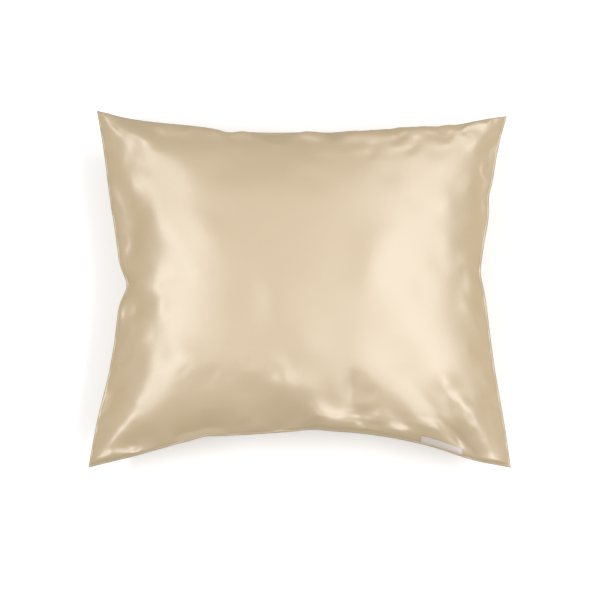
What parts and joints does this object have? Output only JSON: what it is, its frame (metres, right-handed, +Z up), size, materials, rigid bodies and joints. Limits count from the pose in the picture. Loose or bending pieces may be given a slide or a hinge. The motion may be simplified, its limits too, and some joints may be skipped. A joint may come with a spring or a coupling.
{
  "type": "filled pillowcase",
  "caption": "Satin pillowcase drawn over a plump pillow, with a high crown, drawn-in sides, flattened corner ears, soft folds and a blank label by the lower seam.",
  "frame": {"origin": "on the surface it lies on, under the middle of its outline", "axes": "+Z up through the crown, +X along the long side, +Y towards the upper edge, away from the label"},
  "size_m": [0.689, 0.594, 0.2013],
  "materials": {
    "satin": "smooth champagne satin with a soft broad sheen",
    "label_tape": "matt off-white woven tape, blank"
  },
  "bodies": {
    "root": {"pillowcase": "satin", "label": "label_tape"}
  },
  "joints": []
}
